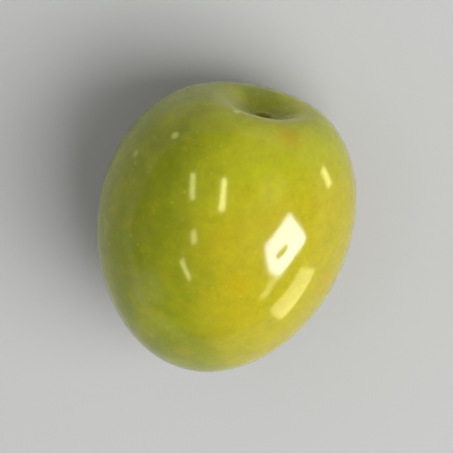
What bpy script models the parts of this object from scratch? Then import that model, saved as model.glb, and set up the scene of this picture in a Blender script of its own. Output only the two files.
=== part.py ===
"""A green table olive, whole and unpitted, lying on its side on a small flat spot.

Units are metres, +Z is up, and the stem end points along +X. The fruit is one solid: an
egg-shaped body with a flattened stem end, a hollow with the stem's scar in it, and a blunt
point at the blossom end. The origin is on the surface it rests on, under the middle of the fruit.
"""

import math

import bmesh
import bpy
from mathutils import Matrix, Vector

MM = 0.001

# The body, measured across its widest ring and from end to end
HALF_WIDTH = 11.6 * MM
HALF_LENGTH = 14.1 * MM
EGG = 0.078  # how much wider the stem half is than the blossom half, as a share of the width
SHOULDER = 0.013  # how much fuller than an ellipse the stem end's shoulders are
FLATTER = 0.985  # thickness from top to bottom, against the width from side to side
BEND = 0.35 * MM  # how far the middle bows out to one side
LOBES = ((2, 0.004, 0.6), (3, 0.005, 1.9))  # waves round the girth: count, share of the radius, turn

# The stem end: a broad slanting flattening, the hollow in it, the folds in the hollow and the scar
SEAT_DEPTH = 1.35 * MM
SEAT_SPREAD = 5.2 * MM
SLANT = 0.17  # how much the flattening rises towards one side, as height against width
HOLLOW_DEPTH = 1.9 * MM
HOLLOW_SPREAD = 2.75 * MM
HOLLOW_LEAN = 0.16  # how much deeper the hollow is on its upper side
FOLD_COUNT = 5
FOLD_DEPTH = 0.07 * MM
FOLD_RING = 2.4 * MM
SCAR_RADIUS = 1.05 * MM
SCAR_RISE = 0.2 * MM
SCAR_EDGE = 0.22 * MM
PIT_RADIUS = 0.42 * MM
PIT_DEPTH = 0.34 * MM

# The blossom end's blunt point
POINT_RISE = 0.24 * MM
POINT_SPREAD = 1.25 * MM

# How it lies, and the flat spot under it
REST_TILT = math.radians(4.0)
SPOT_DEPTH = 0.15 * MM

# The mesh: rings lie closer together near the two ends
SEGMENTS = 80
RINGS = 56
CROWDING = 0.6

GREEN = (0.36, 0.38, 0.035, 1.0)


def bell(distance, spread):
    """1 at the middle, falling smoothly to 0."""
    return math.exp(-((distance / spread) ** 2))


def soft_step(distance, edge_at, edge_width):
    """1 inside edge_at, 0 outside it, with a smooth edge."""
    return 0.5 - 0.5 * math.tanh((distance - edge_at) / edge_width)


def ring_angle(share):
    """The angle from the stem end of a ring that is this share of the way along the mesh."""
    return math.pi * (share - CROWDING * math.sin(2 * math.pi * share) / (2 * math.pi))


def girth(from_stem, turn):
    """The distance from the fruit's axis to its skin."""
    stem_half = 0.5 * (1 + math.cos(from_stem))
    full = SHOULDER * stem_half
    round_part = (math.sin(from_stem) + full * math.sin(3 * from_stem)) / (1 - full)
    waves = 0.0
    for count, share, start in LOBES:
        waves += share * math.cos(count * turn + start)
    uneven = 1 + waves * math.sin(from_stem) ** 2
    return HALF_WIDTH * round_part * (1 + EGG * math.cos(from_stem)) * uneven


def stem_end_drop(radius, turn):
    """How far the skin lies below the plain egg near the stem end, this far from the axis."""
    seat = (SEAT_DEPTH - SLANT * radius * math.cos(turn)) * bell(radius, SEAT_SPREAD)
    hollow = HOLLOW_DEPTH * bell(radius, HOLLOW_SPREAD)
    hollow *= 1 - HOLLOW_LEAN * math.sin(turn) * min(1.0, radius / HOLLOW_SPREAD)
    folds = FOLD_DEPTH * math.cos(FOLD_COUNT * turn + 0.4) * bell(radius - FOLD_RING, 0.9 * MM)
    folds *= min(1.0, radius / FOLD_RING)
    scar = SCAR_RISE * soft_step(radius, SCAR_RADIUS, SCAR_EDGE)
    pit = PIT_DEPTH * bell(radius, PIT_RADIUS)
    return seat + hollow + folds - scar + pit


def skin_point(from_stem, turn):
    """A point of the skin with the fruit standing on its blossom end, its axis along Z."""
    radius = girth(from_stem, turn)
    height = HALF_LENGTH * math.cos(from_stem)
    if from_stem < math.pi / 2:
        height -= stem_end_drop(radius, turn)
    else:
        height -= POINT_RISE * bell(radius, POINT_SPREAD)
    bow = -BEND * math.sin(from_stem) ** 2
    return Vector((radius * math.cos(turn) + bow, FLATTER * radius * math.sin(turn), height))


def shape_body(mesh):
    """Moves each point of a unit sphere to its place on the skin."""
    for vert in mesh.verts:
        share = math.acos(max(-1.0, min(1.0, vert.co.z))) / math.pi
        turn = math.atan2(vert.co.y, vert.co.x)
        vert.co = skin_point(ring_angle(share), turn)


def lay_down(mesh):
    """Turns the stem end to +X, with the fruit's front side up, and tips it to how it rests."""
    on_its_side = Matrix(((0, 0, 1), (-1, 0, 0), (0, -1, 0))).to_4x4()
    tipped = Matrix.Rotation(-REST_TILT, 4, "Y")
    bmesh.ops.transform(mesh, matrix=tipped @ on_its_side, verts=mesh.verts)


def cut_flat_spot(mesh):
    """Cuts the lowest part off level, and closes it with one flat face."""
    level = min(vert.co.z for vert in mesh.verts) + SPOT_DEPTH
    parts = mesh.verts[:] + mesh.edges[:] + mesh.faces[:]
    cut = bmesh.ops.bisect_plane(
        mesh, geom=parts, dist=1e-7, plane_co=(0, 0, level), plane_no=(0, 0, -1), clear_outer=True
    )
    rim = [part for part in cut["geom_cut"] if isinstance(part, bmesh.types.BMEdge)]
    for vert in {vert for edge in rim for vert in edge.verts}:
        vert.co.z = level
    bmesh.ops.contextual_create(mesh, geom=rim)


def stand_on_origin(mesh):
    """Moves the fruit so that the middle of its underside is at the origin."""
    low = Vector([min(vert.co[axis] for vert in mesh.verts) for axis in range(3)])
    high = Vector([max(vert.co[axis] for vert in mesh.verts) for axis in range(3)])
    middle = (low + high) / 2
    bmesh.ops.translate(mesh, vec=(-middle.x, -middle.y, -low.z), verts=mesh.verts)


def green_skin():
    material = bpy.data.materials.new("green_skin")
    material.use_nodes = True
    shader = material.node_tree.nodes["Principled BSDF"]
    shader.inputs["Base Color"].default_value = GREEN
    shader.inputs["Roughness"].default_value = 0.22
    shader.inputs["Metallic"].default_value = 0.0
    return material


def make_olive(collection):
    solid = bmesh.new()
    bmesh.ops.create_uvsphere(solid, u_segments=SEGMENTS, v_segments=RINGS, radius=1.0)
    shape_body(solid)
    lay_down(solid)
    cut_flat_spot(solid)
    stand_on_origin(solid)
    bmesh.ops.recalc_face_normals(solid, faces=solid.faces)
    mesh = bpy.data.meshes.new("olive")
    solid.to_mesh(mesh)
    solid.free()
    mesh.shade_smooth()
    mesh.set_sharp_from_angle(angle=math.radians(40))
    mesh.materials.append(green_skin())
    olive = bpy.data.objects.new("olive", mesh)
    collection.objects.link(olive)
    return olive


def main():
    for old in list(bpy.data.objects):
        bpy.data.objects.remove(old, do_unlink=True)
    collection = bpy.data.collections.new("green_olive")
    bpy.context.scene.collection.children.link(collection)
    make_olive(collection)


main()
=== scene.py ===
"""A green table olive on a pale floor: glossy skin, a hollow at its stem end and soft window light."""

import math

import bpy
from mathutils import Matrix, Vector


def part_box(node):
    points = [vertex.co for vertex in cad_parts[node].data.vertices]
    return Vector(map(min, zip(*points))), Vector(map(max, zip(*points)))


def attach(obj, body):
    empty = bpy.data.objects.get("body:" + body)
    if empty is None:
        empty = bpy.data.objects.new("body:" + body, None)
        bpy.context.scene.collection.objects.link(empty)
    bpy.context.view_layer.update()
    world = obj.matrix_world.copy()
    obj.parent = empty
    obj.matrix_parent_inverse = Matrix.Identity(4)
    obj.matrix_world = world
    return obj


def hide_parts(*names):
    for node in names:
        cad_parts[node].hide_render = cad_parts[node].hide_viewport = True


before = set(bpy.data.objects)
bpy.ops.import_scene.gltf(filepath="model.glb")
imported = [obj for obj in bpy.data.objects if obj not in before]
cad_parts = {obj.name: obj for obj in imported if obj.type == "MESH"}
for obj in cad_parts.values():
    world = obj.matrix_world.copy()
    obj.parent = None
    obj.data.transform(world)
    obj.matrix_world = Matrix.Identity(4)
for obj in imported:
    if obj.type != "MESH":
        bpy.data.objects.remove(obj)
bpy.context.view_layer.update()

MM = 0.001

# The fruit's sizes, in millimetres, and its proportions, as in the solid.
# Each is an input of the tree that grows it.
BODY = {
    "Half Width": 11.6,
    "Half Length": 14.1,
    "Egg": 0.078,
    "Shoulder": 0.013,
    "Flatter": 0.985,
    "Bend": 0.35,
    "Seat Depth": 1.35,
    "Seat Spread": 5.2,
    "Slant": 0.17,
    "Hollow Depth": 1.9,
    "Hollow Spread": 2.75,
    "Hollow Lean": 0.16,
    "Fold Count": 5.0,
    "Fold Depth": 0.07,
    "Fold Ring": 2.4,
    "Fold Spread": 0.9,
    "Fold Turn": 0.4,
    "Scar Radius": 1.05,
    "Scar Rise": 0.2,
    "Scar Edge": 0.22,
    "Pit Radius": 0.42,
    "Pit Depth": 0.34,
    "Point Rise": 0.24,
    "Point Spread": 1.25,
    "Spot Depth": 0.15,
    "Crowding": 0.6,
}
LOBES = ((2, 0.004, 0.6), (3, 0.005, 1.9))  # waves round the girth: count, share of the radius, turn
REST_TILT = math.radians(4.0)  # how far the stem end is raised as the fruit lies

# What the finished skin has beyond the solid
RELIEF = {
    "Wave Height": 0.05,  # slow unevenness of the skin
    "Wave Length": 5.5,
    "Wrinkle Height": 0.08,  # radial wrinkles in the hollow
    "Scar Grain": 0.05,  # the torn grain of the scar
    "Seed": 3.0,
}
SEGMENTS = 320
RINGS = 260
FAR = 40.0  # added, in millimetres, to the distance from an end for points of the other half


def in_scene(red, green, blue):
    """A colour as it shows on a screen, from 0 to 255, as the renderer's own linear colour."""
    shares = [value / 255 for value in (red, green, blue)]
    return tuple(((s + 0.055) / 1.055) ** 2.4 if s > 0.04 else s / 12.92 for s in shares)


# The skin's colours, as they show in even light, with painted shade, painted reflection and painted
# highlights among them
GREEN = in_scene(125, 133, 20)
YELLOW_GREEN = in_scene(164, 165, 28)
YELLOW = in_scene(168, 157, 26)
WARM = in_scene(168, 145, 22)
# A greyish haze: painted reflection of the pale surroundings
PAINTED_HAZE = in_scene(142, 146, 70)
PALE = in_scene(186, 178, 60)
# Painted highlights: the glints of drops of liquid
PAINTED_GLINT = in_scene(222, 220, 130)
AMBER = in_scene(178, 146, 12)
RUST = in_scene(176, 138, 16)
LIGHT_FLECK = in_scene(182, 180, 22)
DARK_FLECK = in_scene(96, 110, 4)
PORE = in_scene(190, 188, 80)
SPECK = in_scene(82, 62, 22)
# The hollow's darker green: partly painted shade of the recess
SHADED_HOLLOW_GREEN = in_scene(96, 108, 6)
SCAR = in_scene(108, 96, 36)
# The side that had the sun is yellower. It is also the lit side, and the side away from it is painted
# darker as shade
LIT_SUNNY_SIDE = Vector((0.353, -0.887, 0.295)).normalized()  # the side that had the sun
SKIN_SEED = 4.0

# Single marks: the place from the fruit's middle and the reach, in millimetres, the colour and its
# strength. The last three are painted highlights, the glints of drops of liquid. The two in the haze
# colour are painted reflection, and the one in the hollow's colour is painted shadow on its far wall.
MARKS = (
    ((12.3, -3.3, 6.3), 1.9, RUST, 0.45),
    ((8.1, -3.1, 9.9), 2.0, PALE, 0.35),
    ((-1.0, -3.1, 10.7), 1.6, AMBER, 0.4),
    ((-10.0, -0.1, 6.6), 1.2, RUST, 0.25),
    ((0.1, -10.5, 4.9), 2.2, AMBER, 0.45),
    # painted reflection: greyish haze
    ((11.4, 7.1, 3.1), 3.2, PAINTED_HAZE, 0.5),
    ((11.6, -1.0, 7.8), 3.0, PALE, 0.25),
    # painted reflection: greyish haze
    ((-4.5, 4.9, 8.9), 3.0, PAINTED_HAZE, 0.4),
    # painted shadow on the hollow's far wall
    ((13.2, 0.4, -2.4), 3.0, SHADED_HOLLOW_GREEN, 0.6),
    # painted highlights: glints of drops of liquid
    ((12.6, 2.0, 4.9), 0.6, PAINTED_GLINT, 0.6),
    ((9.2, 6.6, 7.0), 0.48, PAINTED_GLINT, 0.5),
    ((6.1, 9.5, 5.6), 0.6, PAINTED_GLINT, 0.35),
)

# The camera, by how the fruit shows in the photograph
STEM_TO_VIEWER = math.radians(19.5)  # how far the stem end leans out of the picture
STEM_CLOCKWISE = math.radians(18.5)  # how far it is turned from straight up
CAMERA_DISTANCE = 0.45  # metres
AIM = (0.58, 0.54)  # where the camera looks, right and up of the fruit's middle, in millimetres
SENSOR = 36.0  # millimetres
PICTURE_PIXELS = 453
FRUIT_WIDE_PIXELS = 252  # how wide the fruit shows in the picture

# The room: its floor's colour, and the brightness of its walls, its ceiling and a soft glow on one side
FLOOR = (0.45, 0.45, 0.445)
FLOOR_REACH = 1.8
FLOOR_FADE = (0.08, 0.5)  # how far from the fruit the floor begins and ends its fade into the walls
WALLS = (0.6, 0.6, 0.595)
CEILING = (0.27, 0.275, 0.28)
DARK_CEILING = (0.12, 0.12, 0.12)  # what the wet skin mirrors from above, between the lights
GLOW = (0.65, 0.65, 0.65)
GLOW_SIDE = Vector((0.1, 0.86, 0.5))

# The colours of the soft light, the window and the lamps
WHITE = (1.0, 1.0, 1.0)
COOL = (0.88, 0.92, 1.0)
LAMP = (1.0, 0.95, 0.45)

# A light's row holds its name, direction, distance, size, shift in its own plane, turn in degrees and
# radiance. Lengths are in metres. A direction is in the picture: right, up, towards the viewer.
LIGHT_DISTANCE = 0.6
NO_SHIFT = (0.0, 0.0)
SOFT_LIGHT = ("soft_light", (0.5, -0.38, 0.78), LIGHT_DISTANCE, (0.5, 0.5), NO_SHIFT, 0.0, 6.0)
WINDOW_DIRECTION = (0.719, -0.547, 0.428)
WINDOW_TURN = 20.0
WINDOW_RADIANCE = 22.0
# The window's panes, which leave a gap between them: the name, the size and the shift
WINDOW_PANES = (
    ("window_upper", (0.285, 0.133), (0.0125, 0.1175)),
    ("window_lower", (0.285, 0.122), (0.0125, -0.065)),
    ("window_right", (0.15, 0.055), (0.08, 0.0235)),
    ("window_left", (0.04, 0.055), (-0.11, 0.0235)),
    ("window_corner", (0.02, 0.22), (-0.14, 0.03)),
    ("window_edge", (0.015, 0.12), (-0.1575, 0.03)),
)
LAMPS = (
    ("window_strip", (0.674, -0.737, -0.047), 0.08, (0.034, 0.026), (0.0018, -0.0035), 12.0, 6.0),
    ("thin_light_a", (-0.149, 0.078, 0.986), LIGHT_DISTANCE, (0.045, 0.29), NO_SHIFT, -2.2, 19.0),
    ("thin_light_b", (-0.577, 0.2, 0.791), LIGHT_DISTANCE, (0.045, 0.22), NO_SHIFT, -2.0, 12.0),
    ("thin_light_c", (-0.501, -0.399, 0.768), LIGHT_DISTANCE, (0.042, 0.095), NO_SHIFT, 18.1, 11.0),
    ("thin_light_d", (-0.511, -0.655, 0.556), LIGHT_DISTANCE, (0.035, 0.15), NO_SHIFT, 41.4, 12.0),
    ("thin_light_e", (0.964, 0.258, 0.07), 0.05, (0.0063, 0.0116), NO_SHIFT, 101.5, 10.0),
    ("thin_light_f", (0.522, -0.819, 0.239), LIGHT_DISTANCE, (0.06, 0.13), NO_SHIFT, -49.3, 5.5),
)


def feed(tree, value, place):
    """Gives a node's input a plain number, or one that is worked out in the tree."""
    if isinstance(value, Flow):
        tree.links.new(value.socket, place)
    else:
        place.default_value = value


class Flow:
    """A number that is worked out in a node tree. Arithmetic on it adds Math nodes."""

    def __init__(self, tree, socket):
        self.tree = tree
        self.socket = socket

    @staticmethod
    def number(tree, value):
        node = tree.nodes.new("ShaderNodeValue")
        node.outputs[0].default_value = value
        return Flow(tree, node.outputs[0])

    def math(self, operation, *others):
        node = self.tree.nodes.new("ShaderNodeMath")
        node.operation = operation
        for place, value in zip(node.inputs, (self, *others)):
            feed(self.tree, value, place)
        return Flow(self.tree, node.outputs[0])

    def __add__(self, other):
        return self.math("ADD", other)

    def __sub__(self, other):
        return self.math("SUBTRACT", other)

    def __mul__(self, other):
        return self.math("MULTIPLY", other)

    def __truediv__(self, other):
        return self.math("DIVIDE", other)

    def __rtruediv__(self, other):
        return Flow.number(self.tree, other) / self

    def __neg__(self):
        return self * -1.0

    __radd__ = __add__

    def __rsub__(self, other):
        return -self + other

    def squared(self):
        return self * self

    def cos(self):
        return self.math("COSINE")

    def sin(self):
        return self.math("SINE")

    def least(self, other):
        return self.math("MINIMUM", other)

    def most(self, other):
        return self.math("MAXIMUM", other)

    def ramp(self, low, high):
        """0 at low, 1 at high, smooth between them."""
        node = self.tree.nodes.new("ShaderNodeMapRange")
        node.interpolation_type = "SMOOTHSTEP"
        feed(self.tree, self, node.inputs["Value"])
        feed(self.tree, low, node.inputs["From Min"])
        feed(self.tree, high, node.inputs["From Max"])
        return Flow(self.tree, node.outputs["Result"])


def bell(distance, spread):
    """1 at the middle, falling smoothly to 0."""
    return (-(distance / spread).squared()).math("EXPONENT")


def soft_step(distance, edge_at, edge_width):
    """1 inside edge_at, 0 outside it, with a smooth edge."""
    return 0.5 - ((distance - edge_at) / edge_width).math("TANH") * 0.5


def separate(tree, vector):
    node = tree.nodes.new("ShaderNodeSeparateXYZ")
    tree.links.new(vector, node.inputs[0])
    return [Flow(tree, socket) for socket in node.outputs]


def combine(tree, x, y, z):
    node = tree.nodes.new("ShaderNodeCombineXYZ")
    for place, value in zip(node.inputs, (x, y, z)):
        feed(tree, value, place)
    return node.outputs[0]


def noise(tree, where, scale, detail=2.0, roughness=0.5, warp=0.0, seed=0.0):
    """Smooth random values from 0 to 1, at this many waves to a unit of where."""
    node = tree.nodes.new("ShaderNodeTexNoise")
    node.noise_dimensions = "4D"
    tree.links.new(where, node.inputs["Vector"])
    feed(tree, seed, node.inputs["W"])
    feed(tree, scale, node.inputs["Scale"])
    node.inputs["Detail"].default_value = detail
    node.inputs["Roughness"].default_value = roughness
    node.inputs["Distortion"].default_value = warp
    return Flow(tree, node.outputs["Fac"])


def mix(tree, share, below, above):
    """One colour over another, by share."""
    node = tree.nodes.new("ShaderNodeMix")
    node.data_type = "RGBA"
    tree.links.new(share.socket, node.inputs["Factor"])
    places = [socket for socket in node.inputs if socket.type == "RGBA"]
    for place, colour in zip(places, (below, above)):
        if isinstance(colour, tuple):
            place.default_value = (*colour, 1.0)
        else:
            tree.links.new(colour, place)
    return next(socket for socket in node.outputs if socket.type == "RGBA")


def vector_math(tree, operation, vector):
    node = tree.nodes.new("ShaderNodeVectorMath")
    node.operation = operation
    tree.links.new(vector, node.inputs[0])
    return node


def scaled(tree, vector, amount):
    """A vector made longer, or a colour brighter, by an amount."""
    node = vector_math(tree, "SCALE", vector)
    feed(tree, amount, node.inputs["Scale"])
    return node.outputs["Vector"]


def moved(tree, vector, offset):
    node = vector_math(tree, "ADD", vector)
    node.inputs[1].default_value = offset
    return node.outputs["Vector"]


def along(tree, vector, direction):
    """How far a place lies in a direction."""
    node = vector_math(tree, "DOT_PRODUCT", vector)
    node.inputs[1].default_value = direction
    return Flow(tree, node.outputs["Value"])


def gap(tree, vector, place):
    """How far a place is from another."""
    node = vector_math(tree, "DISTANCE", vector)
    node.inputs[1].default_value = place
    return Flow(tree, node.outputs["Value"])


def store(tree, mesh, name, value):
    """Keeps a number at each point of the mesh, for the skin's colours to follow."""
    node = tree.nodes.new("GeometryNodeStoreNamedAttribute")
    node.data_type = "FLOAT"
    node.domain = "POINT"
    node.inputs["Name"].default_value = name
    tree.links.new(mesh, node.inputs["Geometry"])
    tree.links.new(value.socket, node.inputs["Value"])
    return node.outputs["Geometry"]


def stored(tree, name):
    """The kept number, in the tree that grows the fruit."""
    node = tree.nodes.new("GeometryNodeInputNamedAttribute")
    node.data_type = "FLOAT"
    node.inputs["Name"].default_value = name
    return Flow(tree, node.outputs["Attribute"])


def attribute(tree, name):
    """The kept number, in the skin's material."""
    node = tree.nodes.new("ShaderNodeAttribute")
    node.attribute_name = name
    return Flow(tree, node.outputs["Fac"])


def set_position(tree, mesh, position=None, offset=None):
    node = tree.nodes.new("GeometryNodeSetPosition")
    tree.links.new(mesh, node.inputs["Geometry"])
    if position is not None:
        tree.links.new(position, node.inputs["Position"])
    if offset is not None:
        tree.links.new(offset, node.inputs["Offset"])
    return node.outputs["Geometry"]


def skin_place(tree, size):
    """The fruit's skin as a formula of a unit sphere's points, standing on its blossom end.

    Gives each point's place, its distance from the axis, its turn round it and whether it is in
    the stem half.
    """
    here = tree.nodes.new("GeometryNodeInputPosition").outputs[0]
    x, y, z = separate(tree, here)
    share = (x.squared() + y.squared()).math("SQRT").math("ARCTAN2", z) / math.pi
    turn = y.math("ARCTAN2", x)
    crowd = (share * (2 * math.pi)).sin() * size["Crowding"] / (2 * math.pi)
    from_stem = (share - crowd) * math.pi
    sine = from_stem.sin()
    cosine = from_stem.cos()

    full = size["Shoulder"] * (cosine + 1.0) * 0.5
    round_part = (sine + full * (from_stem * 3.0).sin()) / (1.0 - full)
    uneven = 1.0
    for count, part, start in LOBES:
        uneven = uneven + (turn * count + start).cos() * sine.squared() * part
    radius = size["Half Width"] * round_part * (1.0 + size["Egg"] * cosine) * uneven

    stem_side = cosine.math("GREATER_THAN", 0.0)
    stem_drop = stem_end_drop(size, radius, turn) * stem_side
    point = size["Point Rise"] * bell(radius, size["Point Spread"]) * (1.0 - stem_side)
    height = size["Half Length"] * cosine - stem_drop - point
    across = radius * turn.cos() - size["Bend"] * sine.squared()
    place = combine(tree, across, radius * turn.sin() * size["Flatter"], height)
    return place, radius, turn, stem_side


def stem_end_drop(size, radius, turn):
    """How far the skin lies below the plain egg near the stem end."""
    seat = (size["Seat Depth"] - size["Slant"] * radius * turn.cos()) * bell(radius, size["Seat Spread"])
    hollow = size["Hollow Depth"] * bell(radius, size["Hollow Spread"])
    lean = size["Hollow Lean"] * turn.sin() * (radius / size["Hollow Spread"]).least(1.0)
    hollow = hollow * (1.0 - lean)
    folds = (turn * size["Fold Count"] + size["Fold Turn"]).cos() * size["Fold Depth"]
    folds = folds * bell(radius - size["Fold Ring"], size["Fold Spread"])
    folds = folds * (radius / size["Fold Ring"]).least(1.0)
    scar = size["Scar Rise"] * soft_step(radius, size["Scar Radius"], size["Scar Edge"])
    pit = size["Pit Depth"] * bell(radius, size["Pit Radius"])
    return seat + hollow + folds - scar + pit


def olive_tree():
    """The Geometry Nodes tree that grows the fruit, with its sizes as named inputs."""
    tree = bpy.data.node_groups.new("olive_body", "GeometryNodeTree")
    tree.interface.new_socket(name="Geometry", in_out="OUTPUT", socket_type="NodeSocketGeometry")
    for name in (*BODY, *RELIEF):
        tree.interface.new_socket(name=name, in_out="INPUT", socket_type="NodeSocketFloat")
    for name in ("Segments", "Rings"):
        tree.interface.new_socket(name=name, in_out="INPUT", socket_type="NodeSocketInt")
    tree.interface.new_socket(name="Lie", in_out="INPUT", socket_type="NodeSocketRotation")
    tree.interface.new_socket(name="Underside", in_out="INPUT", socket_type="NodeSocketVector")
    tree.interface.new_socket(name="Skin", in_out="INPUT", socket_type="NodeSocketMaterial")
    given = tree.nodes.new("NodeGroupInput").outputs
    size = {name: Flow(tree, given[name]) for name in (*BODY, *RELIEF)}

    sphere = tree.nodes.new("GeometryNodeMeshUVSphere")
    sphere.inputs["Radius"].default_value = 1.0
    tree.links.new(given["Segments"], sphere.inputs["Segments"])
    tree.links.new(given["Rings"], sphere.inputs["Rings"])
    place, radius, turn, stem_side = skin_place(tree, size)
    mesh = sphere.outputs["Mesh"]
    mesh = store(tree, mesh, "stem_distance", radius + (1.0 - stem_side) * FAR)
    mesh = store(tree, mesh, "blossom_distance", radius + stem_side * FAR)
    mesh = store(tree, mesh, "turn_sine", turn.sin())
    mesh = store(tree, mesh, "turn_cosine", turn.cos())
    mesh = set_position(tree, mesh, position=place)
    mesh = add_relief(tree, mesh, size)
    mesh = lay_down(tree, mesh, size, given)

    smooth = tree.nodes.new("GeometryNodeSetShadeSmooth")
    tree.links.new(mesh, smooth.inputs["Geometry"])
    realize = tree.nodes.new("GeometryNodeRealizeInstances")
    tree.links.new(smooth.outputs["Geometry"], realize.inputs["Geometry"])
    coat = tree.nodes.new("GeometryNodeSetMaterial")
    tree.links.new(realize.outputs["Geometry"], coat.inputs["Geometry"])
    tree.links.new(given["Skin"], coat.inputs["Material"])
    result = tree.nodes.new("NodeGroupOutput")
    tree.links.new(coat.outputs["Geometry"], result.inputs["Geometry"])
    return tree


def swing(tree, where, scale, detail, roughness, seed):
    """Smooth random values from -1 to 1."""
    return (noise(tree, where, scale, detail, roughness, seed=seed) - 0.5) * 2.0


def add_relief(tree, mesh, size):
    """Raises and lowers the skin along its normal, by height in millimetres."""
    here = tree.nodes.new("GeometryNodeInputPosition").outputs[0]
    normal = tree.nodes.new("GeometryNodeInputNormal").outputs[0]
    from_axis = stored(tree, "stem_distance")

    # Slow waves, everywhere but in the hollow
    waves = swing(tree, here, 1.0 / size["Wave Length"].most(0.1), 1.0, 0.5, size["Seed"])
    waves = waves * size["Wave Height"] * from_axis.ramp(2.0, 5.0)

    # Wrinkles that run down the hollow's wall: the noise changes fast round it and slowly along it
    spokes = combine(
        tree, stored(tree, "turn_cosine") * 2.4, stored(tree, "turn_sine") * 2.4, from_axis * 0.35
    )
    wrinkles = swing(tree, spokes, 1.6, 3.0, 0.6, size["Seed"] + 7.0)
    on_the_wall = from_axis.ramp(0.7, 1.4) * (1.0 - from_axis.ramp(2.4, 3.6))
    wrinkles = wrinkles * size["Wrinkle Height"] * on_the_wall

    # The scar's torn grain
    grain = swing(tree, here, 4.5, 3.0, 0.7, size["Seed"] + 11.0)
    grain = grain * size["Scar Grain"] * (1.0 - from_axis.ramp(0.8, 1.3))

    lift = scaled(tree, normal, waves + wrinkles + grain)
    return set_position(tree, mesh, offset=lift)


def box_corners(tree, mesh):
    node = tree.nodes.new("GeometryNodeBoundBox")
    tree.links.new(mesh, node.inputs["Geometry"])
    return separate(tree, node.outputs["Min"]), separate(tree, node.outputs["Max"])


def lay_down(tree, mesh, size, given):
    """Lays the fruit on its side, flattens the spot it rests on, and sets it where the solid is."""
    lie = tree.nodes.new("GeometryNodeTransform")
    tree.links.new(mesh, lie.inputs["Geometry"])
    tree.links.new(given["Lie"], lie.inputs["Rotation"])
    mesh = lie.outputs["Geometry"]

    low, _ = box_corners(tree, mesh)
    x, y, z = separate(tree, tree.nodes.new("GeometryNodeInputPosition").outputs[0])
    level = low[2] + size["Spot Depth"]
    mesh = set_position(tree, mesh, position=combine(tree, x, y, z.most(level)))

    low, high = box_corners(tree, mesh)
    middle = [(a + b) * -0.5 for a, b in zip(low, high)]
    mesh = set_position(tree, mesh, offset=combine(tree, middle[0], middle[1], -low[2]))
    shrink = tree.nodes.new("GeometryNodeTransform")
    shrink.inputs["Scale"].default_value = (MM, MM, MM)
    tree.links.new(mesh, shrink.inputs["Geometry"])
    tree.links.new(given["Underside"], shrink.inputs["Translation"])
    return shrink.outputs["Geometry"]


def lying_turn():
    """Turns the stem end from +Z to +X, the fruit's front side up, and tips it to how it rests."""
    on_its_side = Matrix(((0, 0, 1), (-1, 0, 0), (0, -1, 0)))
    return Matrix.Rotation(-REST_TILT, 3, "Y") @ on_its_side


def make_olive(skin):
    carrier = bpy.data.objects.new("olive_fruit", bpy.data.meshes.new("olive_fruit"))
    bpy.context.scene.collection.objects.link(carrier)
    modifier = carrier.modifiers.new("grow", "NODES")
    tree = olive_tree()
    low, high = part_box("olive")
    values = {
        **BODY,
        **RELIEF,
        "Segments": SEGMENTS,
        "Rings": RINGS,
        "Lie": tuple(lying_turn().to_euler()),
        "Underside": ((low.x + high.x) / 2, (low.y + high.y) / 2, low.z),
        "Skin": skin,
    }
    modifier.node_group = tree
    for socket in tree.interface.items_tree:
        if socket.in_out == "INPUT":
            modifier[socket.identifier] = values[socket.name]
    graph = bpy.context.evaluated_depsgraph_get()
    grown = bpy.data.meshes.new_from_object(
        carrier.evaluated_get(graph), preserve_all_data_layers=True, depsgraph=graph
    )
    carrier.modifiers.remove(modifier)
    carrier.data = grown
    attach(carrier, "root")
    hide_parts("olive")


def spots(tree, where, spacing, radius, edge, share, seed):
    """Soft round spots strewn at random, 1 inside and 0 outside. A share of the places has one."""
    cells = tree.nodes.new("ShaderNodeTexVoronoi")
    tree.links.new(moved(tree, where, (seed, seed * 1.7, seed * 0.6)), cells.inputs["Vector"])
    cells.inputs["Scale"].default_value = 1.0 / spacing
    lot = tree.nodes.new("ShaderNodeSeparateColor")
    tree.links.new(cells.outputs["Color"], lot.inputs[0])
    chosen = Flow(tree, lot.outputs[0]).math("LESS_THAN", share)
    reach = Flow(tree, lot.outputs[1]) * radius * 0.8 + radius * 0.6
    distance = Flow(tree, cells.outputs["Distance"]) * spacing
    return (1.0 - distance.ramp(reach - edge, reach + edge)) * chosen


def ripening(tree, here, clouds):
    """Green on the side away from the light, darker there as painted shade, to yellow on the side that had
    the sun, mottled where they meet.
    """
    patches = noise(tree, here, scale=0.2, detail=2.0, roughness=0.5, warp=0.6, seed=SKIN_SEED) - 0.5
    sunny_and_lit = along(tree, here, tuple(LIT_SUNNY_SIDE)) / BODY["Half Width"] + patches * 0.7
    towards_stem = along(tree, here, (1.0, 0.0, 0.0)) - sunny_and_lit * 8.0 + patches * 5.0
    ripe = mix(tree, towards_stem.ramp(-0.5, 4.5), YELLOW, YELLOW_GREEN)
    # Yellowing on the sunny side, and painted shade: darker green on the side away from the light
    ripeness_and_light = sunny_and_lit.ramp(-0.1, 0.45)
    colour = mix(tree, ripeness_and_light, GREEN, ripe)
    colour = mix(tree, clouds.ramp(0.0, 0.35) * 0.4, colour, WARM)
    colour = mix(tree, (-clouds).ramp(0.02, 0.35) * 0.4, colour, GREEN)
    paler = noise(tree, here, scale=0.14, detail=2.0, roughness=0.5, warp=0.7, seed=SKIN_SEED + 8.0)
    colour = mix(tree, paler.ramp(0.45, 0.7) * (1.0 - ripeness_and_light) * 0.45, colour, YELLOW_GREEN)
    return colour, sunny_and_lit


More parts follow.
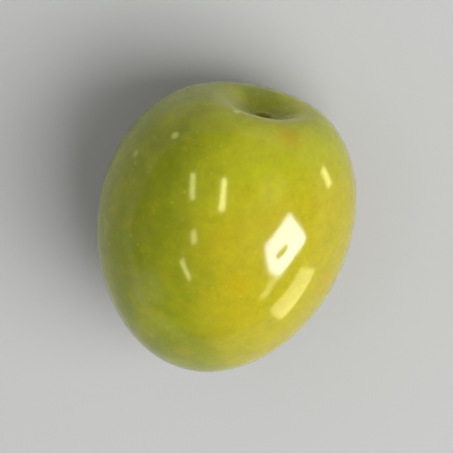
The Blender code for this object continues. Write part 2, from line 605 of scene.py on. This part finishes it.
def haze_marks_and_flecks(tree, here, colour, sunny_and_lit, clouds):
    """A thin greyish haze in patches on the shaded side, painted reflection, the single marks, fine flecks
    and faint scuffs.
    """
    # A greyish haze in patches on the shaded side: painted reflection
    haze = noise(tree, here, scale=0.3, detail=3.0, roughness=0.6, warp=0.8, seed=SKIN_SEED + 2.0)
    shaded = 1.0 - sunny_and_lit.ramp(-0.5, 0.6)
    colour = mix(tree, haze.ramp(0.48, 0.7) * shaded * 0.2, colour, PAINTED_HAZE)
    for place, reach, tint, strength in MARKS:
        ragged = gap(tree, here, place) + clouds * reach
        colour = mix(tree, (1.0 - ragged.ramp(reach * 0.2, reach)) * strength, colour, tint)

    # Flecks, lighter and darker than the skin round them
    flecks = noise(tree, here, scale=0.9, detail=5.0, roughness=0.7, warp=0.3, seed=SKIN_SEED + 7.0) - 0.5
    colour = scaled(tree, colour, flecks * 0.35 + 1.0)
    colour = mix(tree, flecks.ramp(0.02, 0.2) * 0.12, colour, LIGHT_FLECK)
    colour = mix(tree, (-flecks).ramp(0.02, 0.25) * 0.12, colour, DARK_FLECK)

    # Pale scuffs that run round the fruit: the noise changes fast along it and slowly across it
    x, y, z = separate(tree, here)
    drawn_out = combine(tree, x * 0.9, y * 0.16, z * 0.16)
    scuffs = noise(tree, drawn_out, scale=1.3, detail=4.0, roughness=0.65, warp=0.7, seed=SKIN_SEED + 6.0)
    return mix(tree, scuffs.ramp(0.56, 0.72) * haze.ramp(0.4, 0.6) * 0.16, colour, PORE)


def strewn_spots(tree, here, colour):
    """Soft warm blotches, yellow freckles, pale pores and a few dark specks."""
    blotches = spots(tree, here, spacing=6.0, radius=0.9, edge=0.8, share=0.45, seed=6.0)
    colour = mix(tree, blotches * 0.2, colour, AMBER)
    freckles = spots(tree, here, spacing=4.3, radius=0.55, edge=0.25, share=0.35, seed=11.0)
    colour = mix(tree, freckles * 0.3, colour, YELLOW)
    pores = spots(tree, here, spacing=0.85, radius=0.09, edge=0.07, share=0.7, seed=5.0)
    colour = mix(tree, pores * 0.3, colour, PORE)
    specks = spots(tree, here, spacing=2.6, radius=0.1, edge=0.06, share=0.22, seed=8.0)
    colour = mix(tree, specks * 0.6, colour, SPECK)
    return colour, pores


def both_ends(tree, colour, grain):
    """The hollow, darker and streaked, partly painted shade, the dry brown scar in it, and the blossom
    end's dark dot.
    """
    from_axis = attribute(tree, "stem_distance")
    around = combine(
        tree, attribute(tree, "turn_cosine") * 2.0, attribute(tree, "turn_sine") * 2.0, from_axis * 0.5
    )
    streaks = noise(tree, around, scale=2.2, detail=3.0, roughness=0.6, warp=0.3, seed=SKIN_SEED + 4.0)
    ragged = from_axis + (streaks - 0.5) * 1.2
    # Darker green towards the middle of the hollow: partly painted shade of the recess
    colour = mix(tree, (1.0 - ragged.ramp(1.2, 3.8)) * 0.6, colour, SHADED_HOLLOW_GREEN)
    colour = mix(tree, (1.0 - ragged.ramp(0.8, 2.2)) * streaks.ramp(0.45, 0.7) * 0.4, colour, AMBER)
    scar = 1.0 - ragged.ramp(0.6, 1.1)
    colour = mix(tree, scar * 0.75, colour, SCAR)
    pit = 1.0 - from_axis.ramp(0.15, 0.5)
    colour = mix(tree, pit, colour, SPECK)
    point = attribute(tree, "blossom_distance") + grain * 0.5
    colour = mix(tree, (1.0 - point.ramp(0.5, 1.6)) * 0.35, colour, WARM)
    colour = mix(tree, (1.0 - point.ramp(0.22, 0.5)) * 0.85, colour, SPECK)
    return colour, scar


def olive_skin(middle):
    material = bpy.data.materials.new("olive_skin")
    material.use_nodes = True
    tree = material.node_tree
    shader = tree.nodes["Principled BSDF"]

    # Where each point is, in millimetres from the fruit's middle
    coordinates = tree.nodes.new("ShaderNodeTexCoord").outputs["Object"]
    here = scaled(tree, moved(tree, coordinates, tuple(-middle)), 1 / MM)
    clouds = noise(tree, here, scale=0.55, detail=3.0, roughness=0.55, warp=0.5, seed=SKIN_SEED + 1.0) - 0.5
    grain = noise(tree, here, scale=2.2, detail=3.0, roughness=0.6, warp=0.2, seed=SKIN_SEED + 3.0) - 0.5

    colour, sunny_and_lit = ripening(tree, here, clouds)
    colour = haze_marks_and_flecks(tree, here, colour, sunny_and_lit, clouds)
    colour, pores = strewn_spots(tree, here, colour)
    colour = scaled(tree, colour, grain * 0.22 + 1.0)
    colour, scar = both_ends(tree, colour, grain)
    tree.links.new(colour, shader.inputs["Base Color"])

    # Fine unevenness, with the pores a little sunk
    bump = tree.nodes.new("ShaderNodeBump")
    bump.inputs["Strength"].default_value = 0.25
    bump.inputs["Distance"].default_value = 0.02 * MM
    uneven = noise(tree, here, scale=3.5, detail=3.0, roughness=0.6, seed=SKIN_SEED + 5.0) - pores * 0.3
    tree.links.new(uneven.socket, bump.inputs["Height"])
    tree.links.new(bump.outputs["Normal"], shader.inputs["Normal"])

    # A wet coat over softer skin, with the scar rough and dry
    rough = (scar * 0.35 + 0.3 + grain * 0.15).most(0.1)
    tree.links.new(rough.socket, shader.inputs["Roughness"])
    tree.links.new((1.0 - scar * 0.8).socket, shader.inputs["Coat Weight"])
    shader.inputs["Coat Roughness"].default_value = 0.11
    shader.inputs["Coat IOR"].default_value = 1.4
    shader.inputs["Specular IOR Level"].default_value = 0.0
    shader.inputs["Subsurface Weight"].default_value = 0.3
    shader.inputs["Subsurface Radius"].default_value = (1.0, 0.75, 0.15)
    shader.inputs["Subsurface Scale"].default_value = 1.5 * MM
    return material


def camera_axes():
    """The picture's right, up and towards the viewer, in the frame."""
    lean = STEM_TO_VIEWER - REST_TILT
    right = Vector((0, -1, 0))
    up = Vector((math.cos(lean), 0, -math.sin(lean)))
    back = Vector((math.sin(lean), 0, math.cos(lean)))
    rolled_right = right * math.cos(STEM_CLOCKWISE) + up * math.sin(STEM_CLOCKWISE)
    rolled_up = up * math.cos(STEM_CLOCKWISE) - right * math.sin(STEM_CLOCKWISE)
    return rolled_right, rolled_up, back


def make_camera(middle):
    right, up, back = camera_axes()
    data = bpy.data.cameras.new("camera")
    data.sensor_width = SENSOR
    view_width = 2 * BODY["Half Width"] * MM * PICTURE_PIXELS / FRUIT_WIDE_PIXELS
    data.lens = SENSOR * CAMERA_DISTANCE / view_width
    data.clip_start = 0.01
    data.clip_end = 10.0
    camera = bpy.data.objects.new("camera", data)
    aim = middle + (right * AIM[0] + up * AIM[1]) * MM
    turned = Matrix((right, up, back)).transposed().to_4x4()
    camera.matrix_world = Matrix.Translation(aim + back * CAMERA_DISTANCE) @ turned
    bpy.context.scene.collection.objects.link(camera)
    bpy.context.scene.camera = camera


def make_floor():
    """A pale floor that fades into the walls' colour away from the fruit, so that it ends in no edge."""
    mesh = bpy.data.meshes.new("floor")
    corners = [(-1, -1), (1, -1), (1, 1), (-1, 1)]
    mesh.from_pydata([(x * FLOOR_REACH, y * FLOOR_REACH, 0) for x, y in corners], [], [(0, 1, 2, 3)])
    floor = bpy.data.objects.new("floor", mesh)
    bpy.context.scene.collection.objects.link(floor)
    material = bpy.data.materials.new("pale_floor")
    material.use_nodes = True
    tree = material.node_tree
    shader = tree.nodes["Principled BSDF"]
    x, y, _ = separate(tree, tree.nodes.new("ShaderNodeTexCoord").outputs["Object"])
    fade = (x.squared() + y.squared()).math("SQRT").ramp(*FLOOR_FADE)
    tree.links.new(mix(tree, fade, FLOOR, (0.0, 0.0, 0.0)), shader.inputs["Base Color"])
    shader.inputs["Emission Color"].default_value = (*WALLS, 1.0)
    tree.links.new(fade.socket, shader.inputs["Emission Strength"])
    shader.inputs["Roughness"].default_value = 0.7
    shader.inputs["Specular IOR Level"].default_value = 0.0
    mesh.materials.append(material)


def add_light(middle, tint, name, direction, distance, size, shift, turn, radiance):
    """A flat light that faces the fruit. Its shift lets several make up one window."""
    right, up, back = camera_axes()
    towards = (right * direction[0] + up * direction[1] + back * direction[2]).normalized()
    side = (right - towards * right.dot(towards)).normalized()
    facing = Matrix((side, towards.cross(side), towards)).transposed().to_4x4()
    data = bpy.data.lights.new(name, "AREA")
    data.shape = "RECTANGLE"
    data.size, data.size_y = size
    data.energy = radiance * math.pi * size[0] * size[1]
    data.color = tint
    light = bpy.data.objects.new(name, data)
    placed = Matrix.Translation(middle + towards * distance) @ facing
    turned = placed @ Matrix.Rotation(math.radians(turn), 4, "Z")
    light.matrix_world = turned @ Matrix.Translation((*shift, 0))
    light.visible_camera = False
    bpy.context.scene.collection.objects.link(light)
    return light


def make_lights(middle):
    """One soft light, and the bright shapes that the wet skin mirrors."""
    soft = add_light(middle, WHITE, *SOFT_LIGHT)
    soft.visible_glossy = False
    mirrored = []
    for name, size, shift in WINDOW_PANES:
        pane = (name, WINDOW_DIRECTION, LIGHT_DISTANCE, size, shift, WINDOW_TURN, WINDOW_RADIANCE)
        mirrored.append(add_light(middle, COOL, *pane))
    for lamp in LAMPS:
        mirrored.append(add_light(middle, LAMP, *lamp))
    for light in mirrored:
        light.visible_diffuse = False


def make_world():
    """Pale walls, a darker ceiling and a soft glow. The wet skin mirrors a still darker ceiling."""
    world = bpy.data.worlds.new("pale_room")
    world.use_nodes = True
    tree = world.node_tree
    sky = tree.nodes["Background"]
    towards = tree.nodes.new("ShaderNodeTexCoord").outputs["Generated"]
    height = separate(tree, towards)[2]
    colour = mix(tree, height.ramp(0.02, 0.7), WALLS, CEILING)
    glow = along(tree, towards, tuple(GLOW_SIDE.normalized())).ramp(0.2, 1.0) * height.ramp(0.02, 0.4)
    lit = mix(tree, glow, colour, GLOW)
    mirrored = mix(tree, height.ramp(0.0, 0.2), WALLS, DARK_CEILING)
    glossy = Flow(tree, tree.nodes.new("ShaderNodeLightPath").outputs["Is Glossy Ray"])
    tree.links.new(mix(tree, glossy, lit, mirrored), sky.inputs["Color"])
    bpy.context.scene.world = world


def main():
    bpy.context.scene.view_settings.view_transform = "Standard"
    low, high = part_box("olive")
    middle = (low + high) / 2
    make_camera(middle)
    make_olive(olive_skin(middle))
    make_floor()
    make_world()
    make_lights(middle)


main()
